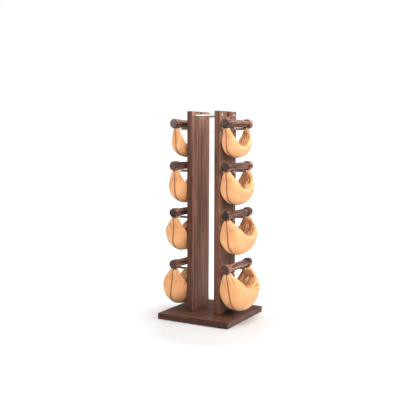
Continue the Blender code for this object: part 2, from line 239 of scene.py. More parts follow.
class Finish:
    """Shorthand for one material's nodes."""

    def __init__(self, name):
        self.material = bpy.data.materials.new(name)
        self.material.use_nodes = True
        self.tree = self.material.node_tree
        self.shader = self.tree.nodes["Principled BSDF"]

    def feed(self, socket, value):
        if isinstance(value, bpy.types.NodeSocket):
            self.tree.links.new(value, socket)
        else:
            socket.default_value = value

    def add(self, kind, inputs=None, **settings):
        node = self.tree.nodes.new(kind)
        for key, value in settings.items():
            setattr(node, key, value)
        for key, value in (inputs or {}).items():
            self.feed(node.inputs[key], value)
        return node

    def place(self):
        return self.add("ShaderNodeTexCoord").outputs["Object"]

    def attribute(self, name):
        return self.add("ShaderNodeAttribute", attribute_name=name).outputs["Fac"]

    def math(self, operation, a, b=0.0):
        return self.add("ShaderNodeMath", {0: a, 1: b}, operation=operation).outputs[0]

    def total(self, *layers):
        """Sum of (value, weight) pairs."""
        result, *others = [self.math("MULTIPLY", value, weight) for value, weight in layers]
        for other in others:
            result = self.math("ADD", result, other)
        return result

    def vector(self, operation, a, b=(0, 0, 0)):
        node = self.add("ShaderNodeVectorMath", {0: a, 1: b}, operation=operation)
        return node.outputs["Value" if operation in ("LENGTH", "DOT_PRODUCT") else "Vector"]

    def stretch(self, vector, scale):
        return self.vector("MULTIPLY", vector, scale)

    def noise(self, vector, scale, detail, roughness, distortion=0.0):
        inputs = {
            "Vector": vector, "Scale": scale, "Detail": detail,
            "Roughness": roughness, "Distortion": distortion,
        }
        return self.add("ShaderNodeTexNoise", inputs).outputs["Fac"]

    def cells(self, vector, scale):
        return self.add("ShaderNodeTexVoronoi", {"Vector": vector, "Scale": scale}).outputs["Distance"]

    def span(self, value, low, high, to_low=0.0, to_high=1.0):
        inputs = {
            "Value": value, "From Min": low, "From Max": high, "To Min": to_low, "To Max": to_high,
        }
        return self.add("ShaderNodeMapRange", inputs).outputs["Result"]

    def mix(self, share, a, b, blend="MIX"):
        node = self.add("ShaderNodeMix", data_type="RGBA", blend_type=blend)
        self.feed(node.inputs[0], share)
        for index, value in ((6, a), (7, b)):
            linked = isinstance(value, bpy.types.NodeSocket)
            self.feed(node.inputs[index], value if linked else (*value, 1.0))
        return node.outputs[2]

    def ramp(self, value, stops):
        node = self.add("ShaderNodeValToRGB", {"Fac": value})
        elements = node.color_ramp.elements
        while len(elements) < len(stops):
            elements.new(0.5)
        for element, (position, colour) in zip(elements, stops):
            element.position = position
            element.color = (*colour, 1.0)
        return node.outputs["Color"]

    def bump(self, height, distance, strength=1.0):
        inputs = {"Height": height, "Distance": distance, "Strength": strength}
        return self.add("ShaderNodeBump", inputs).outputs["Normal"]

    def finish(self, **inputs):
        for key, value in inputs.items():
            self.feed(self.shader.inputs[key.replace("_", " ")], value)
        return self.material


def scaled_along(axis, share):
    """A scale that draws a pattern out along one axis."""
    scale = [1.0, 1.0, 1.0]
    scale[axis] = share
    return scale


def walnut(
    name, grain, heart, tones, edge_tone,
    ring=0.0075, roughness=(0.42, 0.60), specular=0.24, clouds=(0.0, 0.16),
):
    """Oiled walnut as a solid: rings round a far-off heart, fibres and pores along grain.

    Faces that look along Y take edge_tone as well.
    """
    f = Finish(name)
    long_place = f.stretch(f.place(), scaled_along(grain, 0.045))
    warp = f.noise(long_place, 7.0, 3.0, 0.5)
    centred = f.vector("SUBTRACT", f.place(), heart)
    radius = f.vector("LENGTH", f.stretch(centred, scaled_along(grain, 0.0)))
    bent = f.math("ADD", radius, f.math("MULTIPLY", warp, 0.055))
    rings = f.math("FRACT", f.math("DIVIDE", bent, ring))
    greys = ((0.0, 0.45), (0.62, 0.62), (0.90, 0.05), (1.0, 0.45))
    ring_tone = f.ramp(rings, [(position, (grey,) * 3) for position, grey in greys])
    streak = f.noise(long_place, 62.0, 4.0, 0.6, 0.6)
    thread_streak = f.noise(long_place, 210.0, 3.0, 0.6)
    cloud = f.noise(long_place, 16.0, 3.0, 0.6)
    fibre = f.noise(long_place, 620.0, 3.0, 0.65)
    pore = f.noise(f.stretch(f.place(), scaled_along(grain, 0.03)), 1150.0, 2.0, 0.5)
    pore = f.span(pore, 0.60, 0.70)
    tone = f.total(
        (ring_tone, 0.20),
        (f.span(streak, 0.30, 0.70), 0.34),
        (f.span(thread_streak, 0.30, 0.70), 0.26),
        (f.span(cloud, 0.3, 0.7, clouds[0]), clouds[1]),
        (f.span(fibre, 0.25, 0.75), 0.16),
    )
    colour = f.ramp(tone, list(zip((0.16, 0.50, 0.88), tones)))
    colour = f.mix(f.math("MULTIPLY", pore, 0.62), colour, [0.45 * c for c in tones[0]])
    facing = f.vector("DOT_PRODUCT", f.add("ShaderNodeTexCoord").outputs["Normal"], (0, 1, 0))
    facing = f.span(f.math("ABSOLUTE", facing), 0.45, 0.75)
    colour = f.mix(facing, colour, f.mix(1.0, colour, edge_tone, "MULTIPLY"))
    height = f.math("SUBTRACT", f.math("MULTIPLY", fibre, 0.6), f.math("MULTIPLY", pore, 0.8))
    height = f.math("ADD", height, f.math("MULTIPLY", streak, 0.3))
    gloss = f.span(f.math("ADD", fibre, f.math("MULTIPLY", pore, 0.5)), 0.3, 1.1, *roughness)
    return f.finish(
        Base_Color=colour, Roughness=gloss, Normal=f.bump(height, 0.00035, 0.75),
        Specular_IOR_Level=specular,
    )


def steel(name, grain):
    """Drawn or turned bar, with fine lines along grain and faint smears."""
    f = Finish(name)
    lines = f.noise(f.stretch(f.place(), scaled_along(grain, 0.04)), 2600.0, 2.0, 0.6)
    smear = f.noise(f.place(), 90.0, 4.0, 0.6)
    colour = f.mix(f.span(lines, 0.3, 0.7, 0.0, 0.35), STEEL, [0.72 * c for c in STEEL])
    gloss = f.math("ADD", f.span(smear, 0.3, 0.7, 0.20, 0.34), f.math("MULTIPLY", lines, 0.10))
    normal = f.bump(lines, 0.00006, 0.5)
    return f.finish(Base_Color=colour, Metallic=1.0, Roughness=gloss, Normal=normal)


def leather(name, shift):
    """Vegetable-tanned hide: fine pebble, drawn wrinkles, painted shade in creases, painted highlights
    on ridges and rims, painted shade beside the seam, and an upper face darkened partly as a lining and
    partly by painted shade.
    """
    f = Finish(name)
    place = f.vector("ADD", f.place(), shift)
    hollow = f.attribute("hollow")
    lining_and_shade = f.attribute("upper_face")
    cloud = f.noise(place, 15.0, 4.0, 0.55)
    fleck = f.noise(place, 120.0, 4.0, 0.65)
    wobble = f.add("ShaderNodeTexNoise", {"Vector": place, "Scale": 260.0, "Detail": 2.0})
    wobble = f.stretch(wobble.outputs["Color"], (0.0011,) * 3)
    pebble = f.cells(f.vector("ADD", place, wobble), 980.0)
    drawn = f.noise(f.stretch(place, (1.0, 0.35, 0.55)), 210.0, 4.0, 0.6, 1.2)
    pleat = f.noise(f.stretch(place, (1.0, 0.14, 0.14)), 105.0, 3.0, 0.55, 0.5)
    colour = f.ramp(cloud, list(zip((0.28, 0.52, 0.78), TAN_TONES)))
    colour = f.mix(f.span(fleck, 0.42, 0.75, 0.0, 0.30), colour, TAN_FLECK)
    # Painted shade in creases and a painted highlight on ridges.
    colour = f.mix(f.span(hollow, 0.54, 1.0, 0.0, 0.80), colour, TAN_CREASE_SHADE)
    colour = f.mix(f.span(hollow, 0.46, 0.0, 0.0, 0.40), colour, TAN_RIDGE_HIGHLIGHT)
    # The upper face: a darker lining with painted shade on top, darkest in streaks down its pleats.
    tanned = f.ramp(f.total((drawn, 0.45), (pleat, 0.55)), list(zip((0.40, 0.49, 0.58), LINING_AND_SHADE_TONES)))
    colour = f.mix(f.math("MULTIPLY", lining_and_shade, 0.86), colour, tanned)
    # Painted highlight along the rims, then painted shade beside the seam.
    colour = f.mix(f.math("MULTIPLY", f.attribute("rim"), 0.60), colour, TAN_RIM_HIGHLIGHT)
    colour = f.mix(f.math("MULTIPLY", f.attribute("by_seam"), 0.45), colour, TAN_SEAM_SHADE)
    gloss = f.math("ADD", f.span(fleck, 0.3, 0.7, 0.46, 0.60), f.math("MULTIPLY", hollow, 0.10))
    height = f.total((pebble, -0.55), (drawn, 1.1), (f.math("MULTIPLY", pleat, lining_and_shade), 6.0))
    return f.finish(
        Base_Color=colour, Roughness=gloss, Normal=f.bump(height, 0.00045, 0.60),
        Specular_IOR_Level=0.38, Sheen_Weight=0.20, Sheen_Roughness=0.4,
    )


def raw_edge(name):
    """Cut and burnished leather edges, dark red-brown."""
    f = Finish(name)
    grain = f.noise(f.place(), 420.0, 4.0, 0.65)
    blotch = f.noise(f.place(), 46.0, 3.0, 0.6)
    colour = f.ramp(blotch, list(zip((0.30, 0.55, 0.80), EDGE_TONES)))
    colour = f.mix(f.span(grain, 0.45, 0.75, 0.0, 0.5), colour, EDGE_FLECK)
    gloss = f.span(grain, 0.3, 0.7, 0.45, 0.65)
    return f.finish(Base_Color=colour, Roughness=gloss, Normal=f.bump(grain, 0.0003, 0.7))


def thread(name):
    """Waxed thread with its twist."""
    f = Finish(name)
    twist = f.add("ShaderNodeTexWave", {"Vector": f.place(), "Scale": 700.0, "Distortion": 1.0})
    tint = f.noise(f.place(), 160.0, 2.0, 0.5)
    colour = f.mix(f.span(tint, 0.3, 0.7), (0.47, 0.235, 0.105), (0.60, 0.34, 0.17))
    normal = f.bump(twist.outputs["Fac"], 0.00012, 0.6)
    return f.finish(Base_Color=colour, Roughness=0.55, Normal=normal)


def rubber(name):
    f = Finish(name)
    grain = f.noise(f.place(), 900.0, 3.0, 0.6)
    colour = f.mix(grain, (0.018, 0.018, 0.018), (0.050, 0.049, 0.047))
    gloss = f.span(grain, 0.3, 0.7, 0.75, 0.92)
    return f.finish(Base_Color=colour, Roughness=gloss, Normal=f.bump(grain, 0.0002))


def pale_floor(name):
    """The camera sees it a little darker round the rack, in painted shade, and a painted glow fades it
    to plain white further off.
    """
    f = Finish(name)
    cloud = f.noise(f.place(), 2.5, 3.0, 0.5)
    colour = f.mix(cloud, (0.76, 0.755, 0.75), (0.79, 0.785, 0.78))
    seen = f.add("ShaderNodeLightPath").outputs["Is Camera Ray"]
    away = f.vector("LENGTH", f.vector("SUBTRACT", f.place(), SHADE_CENTRE))
    glow = f.span(away, GLOW_FROM, GLOW_TO)
    colour = f.mix(seen, colour, f.mix(1.0, colour, (FLOOR_SHADE,) * 3, "MULTIPLY"))
    f.finish(Emission_Color=(1.0, 1.0, 1.0, 1.0), Emission_Strength=f.math("MULTIPLY", seen, glow))
    return f.finish(Base_Color=colour, Roughness=0.75, Specular_IOR_Level=0.2)


# Mesh helpers

def new_piece(name, points, faces, material, smooth=True):
    mesh = bpy.data.meshes.new(name)
    mesh.from_pydata([tuple(p) for p in points], [], faces)
    mesh.update()
    if smooth:
        mesh.shade_smooth()
    obj = bpy.data.objects.new(name, mesh)
    bpy.context.scene.collection.objects.link(obj)
    mesh.materials.append(material)
    return obj


def show_as(obj, body, slot, *nodes):
    """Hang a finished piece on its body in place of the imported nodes."""
    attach(obj, body)
    if nodes:
        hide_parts(*nodes)


def mark_sharp(obj, degrees):
    obj.data.set_sharp_from_angle(angle=math.radians(degrees))


def tube_faces(rows, count, first=0):
    """Quads between rows of count points, and a cap at each end."""
    faces = []
    for a in range(first, first + (rows - 1) * count, count):
        for k in range(count):
            j = (k + 1) % count
            faces.append((a + k, a + j, a + count + j, a + count + k))
    faces.append(tuple(first + k for k in reversed(range(count))))
    faces.append(tuple(first + (rows - 1) * count + k for k in range(count)))
    return faces


def turned(name, profile, origin, axis, sides, material, wobble=0.0):
    """A closed solid of (radius, distance) points turned about axis, from one end to the other."""
    axis = Vector(axis).normalized()
    side = axis.orthogonal().normalized()
    other = axis.cross(side)
    points = []
    for radius, distance in profile:
        for k in range(sides):
            angle = math.tau * k / sides
            out = side * math.cos(angle) + other * math.sin(angle)
            at = origin + axis * distance
            push = wobble * noise.noise((at + out * radius) * 60.0) if radius > 0 else 0.0
            points.append(at + out * (radius + push))
    return new_piece(name, points, tube_faces(len(profile), sides), material)


def arc(centre, radius, start, end, steps):
    angles = [math.radians(start + (end - start) * i / steps) for i in range(steps + 1)]
    return [(centre[0] + radius * math.cos(a), centre[1] + radius * math.sin(a)) for a in angles]


def smoothstep(low, high, value):
    x = min(max((value - low) / (high - low), 0.0), 1.0)
    return x * x * (3.0 - 2.0 * x)


def bezier(a, b, c, d, t):
    s = 1.0 - t
    return s ** 3 * a + 3 * s * s * t * b + 3 * s * t * t * c + t ** 3 * d


# Stand

def dress_stand():
    """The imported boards, feet and hidden screws keep their shapes."""
    for side, heart, painted_light_scale, edge_tone in BOARDS:
        # The left board's tones are lifted as painted light.
        tones = [[painted_light_scale * c for c in tone] for tone in BOARD_TONES]
        put_on(f"{side}_upright", walnut(f"walnut_{side}_board", 2, heart, tones, edge_tone))
    put_on("base_plate", walnut(
        "walnut_base", 0, BASE_HEART, BASE_TONES, BASE_EDGE, ring=0.009, specular=0.2,
    ))
    pad = rubber("rubber_feet")
    screw = steel("steel_hidden_screws", 2)
    for side in SIDES:
        for end in ENDS:
            put_on(f"foot_{end}_{side}", pad)
            put_on(f"base_screw_{side}_{end}", screw)


def put_on(node, material):
    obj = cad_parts[node]
    obj.data.materials.clear()
    obj.data.materials.append(material)


def outward(side):
    """The way out of a side's upright, along X."""
    return 1 if side == "right" else -1


def build_pins(material):
    for level in LEVELS:
        for side in SIDES:
            for end in ENDS:
                node = f"{side}_{level['weight']}kg_pin_{end}"
                low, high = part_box(node)
                radius = (high.z - low.z) / 2
                half = (high.x - low.x) / 2
                profile = [
                    (radius - PIN_EDGE, -half), (radius, -half + PIN_EDGE), (radius, 0.0),
                    *arc((radius - PIN_TIP, half - PIN_TIP), PIN_TIP, 0, 90, 4),
                ]
                middle, along = (low + high) / 2, (outward(side), 0, 0)
                pin = turned(f"{node}_bar", profile, middle, along, PIN_SIDES, material)
                mark_sharp(pin, 40)
                show_as(pin, "stand", "bright_steel", node)


def build_rods(material):
    for end in ENDS:
        node = f"spacer_rod_{end}"
        low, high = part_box(node)
        radius, half = (high.z - low.z) / 2, (high.x - low.x) / 2
        profile = [
            (radius - ROD_EDGE, -half), (radius, -half + ROD_EDGE),
            (radius, half - ROD_EDGE), (radius - ROD_EDGE, half),
        ]
        rod = turned(f"{node}_bar", profile, (low + high) / 2, (1, 0, 0), ROD_SIDES, material)
        mark_sharp(rod, 40)
        show_as(rod, "stand", "bright_steel", node)


def screw_rings(reach):
    """Rings of a button-head screw as (radii, distance), from its tip to the socket's floor."""
    crown = SCREW_HEAD_RADIUS * 0.50
    outline = [
        (SCREW_RADIUS, -reach), (SCREW_RADIUS, 0.0),
        (SCREW_HEAD_RADIUS - 0.0003, 0.0), (SCREW_HEAD_RADIUS, 0.0004),
    ]
    for i in range(1, SCREW_DOME_STEPS + 1):
        a = math.pi / 2 * i / SCREW_DOME_STEPS
        radius = crown + (SCREW_HEAD_RADIUS - crown) * math.cos(a)
        outline.append((radius, SCREW_RIM + (SCREW_HEAD_HEIGHT - SCREW_RIM) * math.sin(a)))
    wedge = math.tau / 6
    hexagon = [
        SOCKET_RADIUS * math.cos(wedge / 2) / math.cos((math.tau * k / SCREW_SIDES) % wedge - wedge / 2)
        for k in range(SCREW_SIDES)
    ]
    return [([radius] * SCREW_SIDES, distance) for radius, distance in outline] + [
        ([SOCKET_MOUTH * r for r in hexagon], SCREW_HEAD_HEIGHT),
        (hexagon, SCREW_HEAD_HEIGHT - SOCKET_EDGE),
        (hexagon, SCREW_HEAD_HEIGHT - SOCKET_DEPTH),
    ]


def build_rod_screws(material):
    """Button heads with a hexagon socket, and their shanks."""
    for side in SIDES:
        for end in ENDS:
            node = f"rod_screw_{side}_{end}"
            low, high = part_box(node)
            sign = outward(side)
            middle = (low + high) / 2
            crown = high.x if sign > 0 else low.x
            seat = Vector((crown - sign * SCREW_HEAD_HEIGHT, middle.y, middle.z))
            rings = screw_rings((high.x - low.x) - SCREW_HEAD_HEIGHT)
            points = []
            for radii, distance in rings:
                for k, radius in enumerate(radii):
                    angle = math.tau * k / SCREW_SIDES
                    offset = (sign * distance, radius * math.cos(angle), radius * math.sin(angle))
                    points.append(seat + Vector(offset))
            faces = tube_faces(len(rings), SCREW_SIDES)
            if sign < 0:
                faces = [tuple(reversed(face)) for face in faces]
            screw = new_piece(f"{node}_head", points, faces, material)
            mark_sharp(screw, 35)
            show_as(screw, "stand", "bright_steel", node)


# Handles

def handle_profile(half):
    """A plain grip between two larger knobs, from one end to the other."""
    inner = half - KNOB_LENGTH
    end = [
        (0.0006, half - 0.0002), (0.006, half - 0.0001), (0.012, half),
        *arc((KNOB_RADIUS - KNOB_ROUND, half - KNOB_ROUND), KNOB_ROUND, 90, 0, 8),
        (KNOB_RADIUS, half - 0.5 * KNOB_LENGTH),
        *arc((KNOB_RADIUS - KNOB_ARRIS, inner + KNOB_ARRIS), KNOB_ARRIS, 0, -90, 4),
        (GRIP_RADIUS + 2 * GRIP_FILLET, inner),
        *arc((GRIP_RADIUS + GRIP_FILLET, inner - GRIP_FILLET), GRIP_FILLET, 90, 180, 3),
    ]
    grip = [(GRIP_RADIUS, inner * (1 - i / GRIP_STEPS)) for i in range(1, GRIP_STEPS + 1)]
    upper = end + grip
    return [(r, -y) for r, y in upper[:-1]] + [(r, y) for r, y in reversed(upper)]


def build_handle(level, side):
    node = f"{side}_{level['weight']}kg_handle"
    low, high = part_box(node)
    centre, half = (low + high) / 2, (high.y - low.y) / 2
    shade = random.Random(node)
    heart = (centre.x + shade.uniform(-0.012, 0.012), 0.0, centre.z + shade.uniform(-0.020, 0.006))
    wood = walnut(
        f"walnut_{node}", 1, heart, HANDLE_TONES, HANDLE_END,
        ring=0.0042, roughness=(0.24, 0.36), specular=0.5, clouds=(-0.26, 0.34),
    )
    handle = turned(
        f"{node}_wood", handle_profile(half), centre, (0, 1, 0), HANDLE_SIDES, wood, HANDLE_WOBBLE
    )
    mark_sharp(handle, 50)
    show_as(handle, node, "walnut_handle", node)
    return centre


# Bags

def outer_outline(level, t):
    """Keel of the bag, from a neck (t=0) to the middle (t=1)."""
    widest = -WIDEST_SHARE * level["depth"]
    neck = Vector((NECK_CENTRE + NECK_HALF_LENGTH, -NECK_DROP))
    end = Vector((EMPTY_HALF_SPAN + SPAN_PER_KG * level["weight"], widest))
    drop = -NECK_DROP - widest
    rise = level["depth"] + widest
    if t < 0.5:
        below_neck = Vector(((neck.x + end.x) / 2, neck.y - 0.33 * drop))
        above_end = Vector((end.x, end.y + 0.40 * drop))
        return bezier(neck, below_neck, above_end, end, 2 * t)
    below_end = Vector((end.x, end.y - 0.60 * rise))
    beside_middle = Vector((0.58 * end.x, -level["depth"]))
    return bezier(end, below_end, beside_middle, Vector((0.0, -level["depth"])), 2 * t - 1)


def inner_outline(level, t):
    """Middle of the upper face, below the hand."""
    neck = Vector((NECK_CENTRE - NECK_HALF_LENGTH, -NECK_DROP))
    below_neck = Vector((neck.x - 0.010, -NECK_DROP - 0.55 * (level["gap"] - NECK_DROP)))
    beside_middle = Vector((0.050, -level["gap"]))
    return bezier(neck, below_neck, beside_middle, Vector((0.0, -level["gap"])), t)


def half_width(level, t):
    swell = math.sin(math.pi / 2 * min(t / WIDEST_SHARE, 1.0)) ** 1.1
    return level["neck"] + (level["half_width"] - level["neck"]) * swell


def section(level, t):
    """Half of a section as (lateral, distance from the keel), keel to rim to middle of the top."""
    width = half_width(level, t)
    span = (outer_outline(level, t) - inner_outline(level, t)).length
    belly = smoothstep(level["crease"] - 0.14, level["crease"] + 0.20, t)
    box = smoothstep(0.03, 0.20, t) * (1.0 - level["plump"] * belly)
    power = 2.0 / (2.0 + 2.8 * box)
    dish = 0.20 * box * (1.0 - level["plump"] * belly)

    def point(angle):
        s, c = math.sin(angle), math.cos(angle)
        if c >= 0.0:
            return Vector((width * s ** 0.93, span * (1.0 - RIM_SHARE) * (1.0 - c)))
        s, c = s ** power, (-c) ** power
        along = (1.0 - RIM_SHARE) + RIM_SHARE * c - dish * (1.0 - s * s)
        return Vector((width * s, span * along))

    columns = []
    parts = ((0.0, RIM_ANGLE, SIDE_COLUMNS), (RIM_ANGLE, math.pi - 1e-6, TOP_COLUMNS))
    for start, end, count in parts:
        angles = [start + (end - start) * i / OUTLINE_STEPS for i in range(OUTLINE_STEPS + 1)]
        dense = [point(angle) for angle in angles]
        lengths = [0.0]
        for a, b in zip(dense, dense[1:]):
            lengths.append(lengths[-1] + (b - a).length)
        for i in range(count):
            target = lengths[-1] * i / count
            k = max(j for j in range(OUTLINE_STEPS) if lengths[j] <= target + 1e-12)
            step = lengths[k + 1] - lengths[k] or 1.0
            columns.append(dense[k].lerp(dense[k + 1], (target - lengths[k]) / step))
    columns.append(dense[-1])
    return columns


def bag_grid(level, seed):
    """Rows of points from the neck at -Y round to the one at +Y, gathered at both."""
    rng = random.Random(seed)
    gathers = [gather_folds(rng, level) for _ in range(2)]
    pleats = lengthwise_folds(rng, level)
    crossings = [(level["crease"] + rng.uniform(-0.02, 0.02), rng.uniform(0.0, 6.0)) for _ in range(2)]
    rows = []
    for row in range(-ROWS, ROWS + 1):
        end = 0 if row < 0 else 1
        folds = (gathers[end], pleats, crossings[end])
        rows.append(bag_row(level, seed, 1.0 - abs(row) / ROWS, row < 0, folds))
    return rows


def gather_folds(rng, level):
    """Creases that fan out from a neck: place round the section, depth, reach, drift, width."""
    count = 9
    folds = []
    for k in range(count):
        deep = rng.random() ** 1.5
        folds.append((
            (k + rng.uniform(0.2, 0.8)) / count,
            0.0018 + deep * (0.0022 + 0.00036 * level["weight"]),
            0.18 + 0.14 * deep + 0.010 * level["weight"] * rng.uniform(0.4, 1.0),
            rng.uniform(-0.05, 0.05),
            rng.uniform(0.014, 0.021),
        ))
    return folds


def lengthwise_folds(rng, level):
    """Pleats down the upper face from each neck: end, place across, depth, reach, drift, width."""
    folds = []
    count = 6 + level["weight"] // 3
    for end in (-1.0, 1.0):
        for k in range(count):
            folds.append((
                end,
                -0.86 + 1.72 * (k + rng.uniform(0.2, 0.8)) / count,
                rng.uniform(0.0024, 0.0046),
                rng.uniform(0.20, 0.62),
                rng.uniform(-0.22, 0.22),
                rng.uniform(0.06, 0.10),
            ))
    return folds


def gather_push(gathers, around, t):
    push = 0.0
    for at, depth, reach, drift, wide in gathers:
        gap = (around - at - drift * t + 0.5) % 1.0 - 0.5
        fade = 1.0 - smoothstep(0.25 * reach, reach, t)
        near = 0.45 + 0.55 * smoothstep(0.0, 0.09, t)
        push -= depth * near * fade * (math.exp(-(gap / wide) ** 2) - 0.16)
    return push


def pleat_push(pleats, across, place, t, seed):
    push = 0.0
    for end, lateral, depth, reach, drift, wide in pleats:
        inside = smoothstep(reach - 0.14, reach + 0.14, end * place) * smoothstep(0.0, 0.05, t)
        wander = 0.07 * noise.noise(Vector((seed * 3.1 + lateral * 9.0, place * 4.0, 0.0)))
        gap = across - lateral - drift * (1.0 - end * place) - wander
        push -= depth * inside * (math.exp(-(gap / wide) ** 2) - 0.22)
    return push


def crossing_push(crossing, t, x, rise, span, from_keel):
    """A wavy fold across the upper part of a side, as a share of its full depth."""
    at, phase = crossing
    bend = at + 0.06 * (rise / span - 0.8)
    bend += 0.030 * noise.noise(Vector((x * 38.0 + phase, rise * 30.0, 0.0)))
    crease = math.exp(-((t - bend) / 0.028) ** 2)
    swell = 0.30 * math.exp(-((t - bend - 0.12) / 0.075) ** 2)
    wrapped = smoothstep(0.62 * SIDE_COLUMNS, 0.98 * SIDE_COLUMNS, from_keel)
    wrapped *= 1.0 - 0.85 * smoothstep(SIDE_COLUMNS + 1.0, SIDE_COLUMNS + 6.0, from_keel)
    return (swell - crease) * wrapped


def bag_row(level, seed, t, mirrored, folds):
    """One section: from the keel up one side, over the top and down the other."""
    gathers, pleats, crossing = folds
    columns = section(level, t)
    ring = [(p.x, p.y) for p in columns]
    ring += [(-p.x, p.y) for p in reversed(columns[1:-1])]
    count = len(ring)
    keel, top = outer_outline(level, t), inner_outline(level, t)
    span, along = (top - keel).length, (top - keel).normalized()
    width = half_width(level, t)
    place = (-1.0 if mirrored else 1.0) * (1.0 - t)
    sink = level["sink"] * (NEAR_SINK if mirrored else 1.0)
    strap = (1.0 - smoothstep(0.55, 0.95, t)) * smoothstep(0.02, 0.12, t)
    row = []
    for index, (x, rise) in enumerate(ring):
        before, after = ring[index - 1], ring[(index + 1) % count]
        out = Vector((after[1] - before[1], before[0] - after[0])).normalized()
        from_keel = min(index, count - index)
        upper = smoothstep(SIDE_COLUMNS - 1.0, SIDE_COLUMNS + 4.0, from_keel)
        crumple = noise.turbulence(
            Vector((x / width * 3.4 + seed * 3.3, place * 4.2, seed * 1.7)), 3, True, amplitude_scale=0.6
        )
        ripple = noise.noise(Vector((x * 42.0 + seed * 7.7, place * 5.5, rise * 42.0)))
        push = gather_push(gathers, index / count, t)
        push += upper * pleat_push(pleats, x / width, place, t, seed)
        push += sink * crossing_push(crossing, t, x, rise, span, from_keel)
        push -= CRUMPLE * (crumple - 0.45) * upper * strap
        push += RIPPLE * ripple
        x, rise = x + out.x * push, rise + out.y * push
        point = keel + along * rise
        shift = level["shift"] * (1.0 - place ** 2) * smoothstep(0.35, 1.0, rise / span)
        row.append(Vector((x, (-point.x if mirrored else point.x) + shift, point.y)))
    if t < 0.06:
        saddle(row, 1.0 - t / 0.06)
    return row


def saddle(row, share):
    """Shape the top of a neck to the round of the knob above it."""
    reach = KNOB_RADIUS + NECK_CLEARANCE
    for point in row:
        lift = reach - math.sqrt(max(reach ** 2 - point.x ** 2, 0.0))
        point.z += lift * share


def grid_mesh(name, rows, material):
    count = len(rows[0])
    points = [p for row in rows for p in row]
    faces = []
    for r in range(len(rows) - 1):
        for k in range(count):
            j = (k + 1) % count
            faces.append((r * count + k, (r + 1) * count + k, (r + 1) * count + j, r * count + j))
    faces.append(tuple(range(count)))
    last = (len(rows) - 1) * count
    faces.append(tuple(reversed(range(last, last + count))))
    return new_piece(name, points, faces, material)


def settle_cloth(bags):
    """Let the filled leather find its shape, held at both necks."""
    scene = bpy.context.scene
    scene.frame_start, scene.frame_end = 1, CLOTH_FRAMES
    for bag in bags:
        hold_necks(bag)
        cloth = bag["obj"].modifiers.new("settle", "CLOTH")
        for name, value in CLOTH.items():
            setattr(cloth.settings, name, value)
        cloth.settings.vertex_group_mass = "held"
        cloth.settings.effector_weights.gravity = 0.0
        cloth.collision_settings.use_self_collision = False
        cloth.point_cache.frame_start = 1
        cloth.point_cache.frame_end = CLOTH_FRAMES
    for step in range(1, CLOTH_FRAMES + 1):
        scene.frame_set(step)
    graph = bpy.context.evaluated_depsgraph_get()
    settled = [positions(bag["obj"].evaluated_get(graph).data) for bag in bags]
    for bag, moved in zip(bags, settled):
        obj = bag["obj"]
        obj.modifiers.clear()
        obj.vertex_groups.clear()
        rest = positions(obj.data)
        step = moved - rest
        cap = EMPTY_CAP + CAP_PER_KG * bag["level"]["weight"]
        share = np.minimum(1.0, cap / np.maximum(np.linalg.norm(step, axis=1), 1e-9))
        write(obj.data, rest + step * share[:, None])
    scene.frame_set(1)


def hold_necks(bag):
    obj, count = bag["obj"], bag["columns"]
    group = obj.vertex_groups.new(name="held")
    rows = len(obj.data.vertices) // count
    for r in range(rows):
        weight = 1.0 - smoothstep(*HELD_ROWS, min(r, rows - 1 - r))
        if weight > 0.0:
            group.add(list(range(r * count, (r + 1) * count)), weight, "REPLACE")


def positions(mesh):
    flat = np.zeros(len(mesh.vertices) * 3)
    mesh.vertices.foreach_get("co", flat)
    return flat.reshape(-1, 3)


def write(mesh, points):
    mesh.vertices.foreach_set("co", np.ascontiguousarray(points, dtype=np.float32).reshape(-1))
    mesh.update()


def neighbour_mean(mesh, values, rounds):
    """Values averaged over each vertex's neighbours, several times over."""
    pairs = np.zeros(len(mesh.edges) * 2, dtype=np.int64)
    mesh.edges.foreach_get("vertices", pairs)
    a, b = pairs[0::2], pairs[1::2]
    count = np.zeros(len(mesh.vertices))
    np.add.at(count, a, 1)
    np.add.at(count, b, 1)
    for _ in range(rounds):
        total = np.zeros_like(values)
        np.add.at(total, a, values[b])
        np.add.at(total, b, values[a])
        values = total / (count[:, None] if values.ndim > 1 else count)
    return values


def vertex_normals(mesh):
    flat = np.zeros(len(mesh.vertices) * 3)
    mesh.vertex_normals.foreach_get("vector", flat)
    return flat.reshape(-1, 3)


def paint(mesh, name, values):
    attribute = mesh.attributes.new(name, "FLOAT", "POINT")
    attribute.data.foreach_set("value", np.ascontiguousarray(values, dtype=np.float32))


def grid_masks(rows, count, set_back):
    """Where each grid point lies: on the upper face, along a rim, beside the keel seam."""
    index = np.tile(np.arange(count), rows)
    from_keel = np.minimum(index, count - index).astype(float)
    row = np.repeat(np.arange(rows), count)
    t = np.minimum(row, rows - 1 - row) / (rows // 2)
    open_part = np.clip((t - 0.10) / 0.25, 0.0, 1.0)
    inset = 1.0 + set_back * np.clip((t - 0.20) / 0.50, 0.0, 1.0)
    face = np.clip((from_keel - SIDE_COLUMNS - inset) / 3.5, 0.0, 1.0) * open_part
    rim = np.exp(-((from_keel - SIDE_COLUMNS) / 1.1) ** 2) * open_part * np.clip(1.3 - t, 0.3, 1.0)
    seam = np.exp(-(from_keel / 1.3) ** 2)
    return face, rim, seam


def shape_rims(bag):
    """Pinch the leather along both rims and draw it in beside the keel."""
    mesh, count = bag["obj"].data, bag["columns"]
    normals = vertex_normals(mesh)
    face, rim, seam = grid_masks(len(mesh.vertices) // count, count, bag["level"]["inset"])
    push = RIM_PINCH * rim - SEAM_DRAW * seam
    write(mesh, positions(mesh) + normals * push[:, None])
    paint(mesh, "upper_face", face)
    paint(mesh, "rim", rim)
    paint(mesh, "by_seam", seam)


def subdivide(obj):
    modifier = obj.modifiers.new("smooth", "SUBSURF")
    modifier.levels = modifier.render_levels = 1
    graph = bpy.context.evaluated_depsgraph_get()
    mesh = bpy.data.meshes.new_from_object(obj.evaluated_get(graph))
    obj.modifiers.clear()
    old = obj.data
    obj.data = mesh
    name = old.name
    bpy.data.meshes.remove(old)
    mesh.name = name
    mesh.shade_smooth()


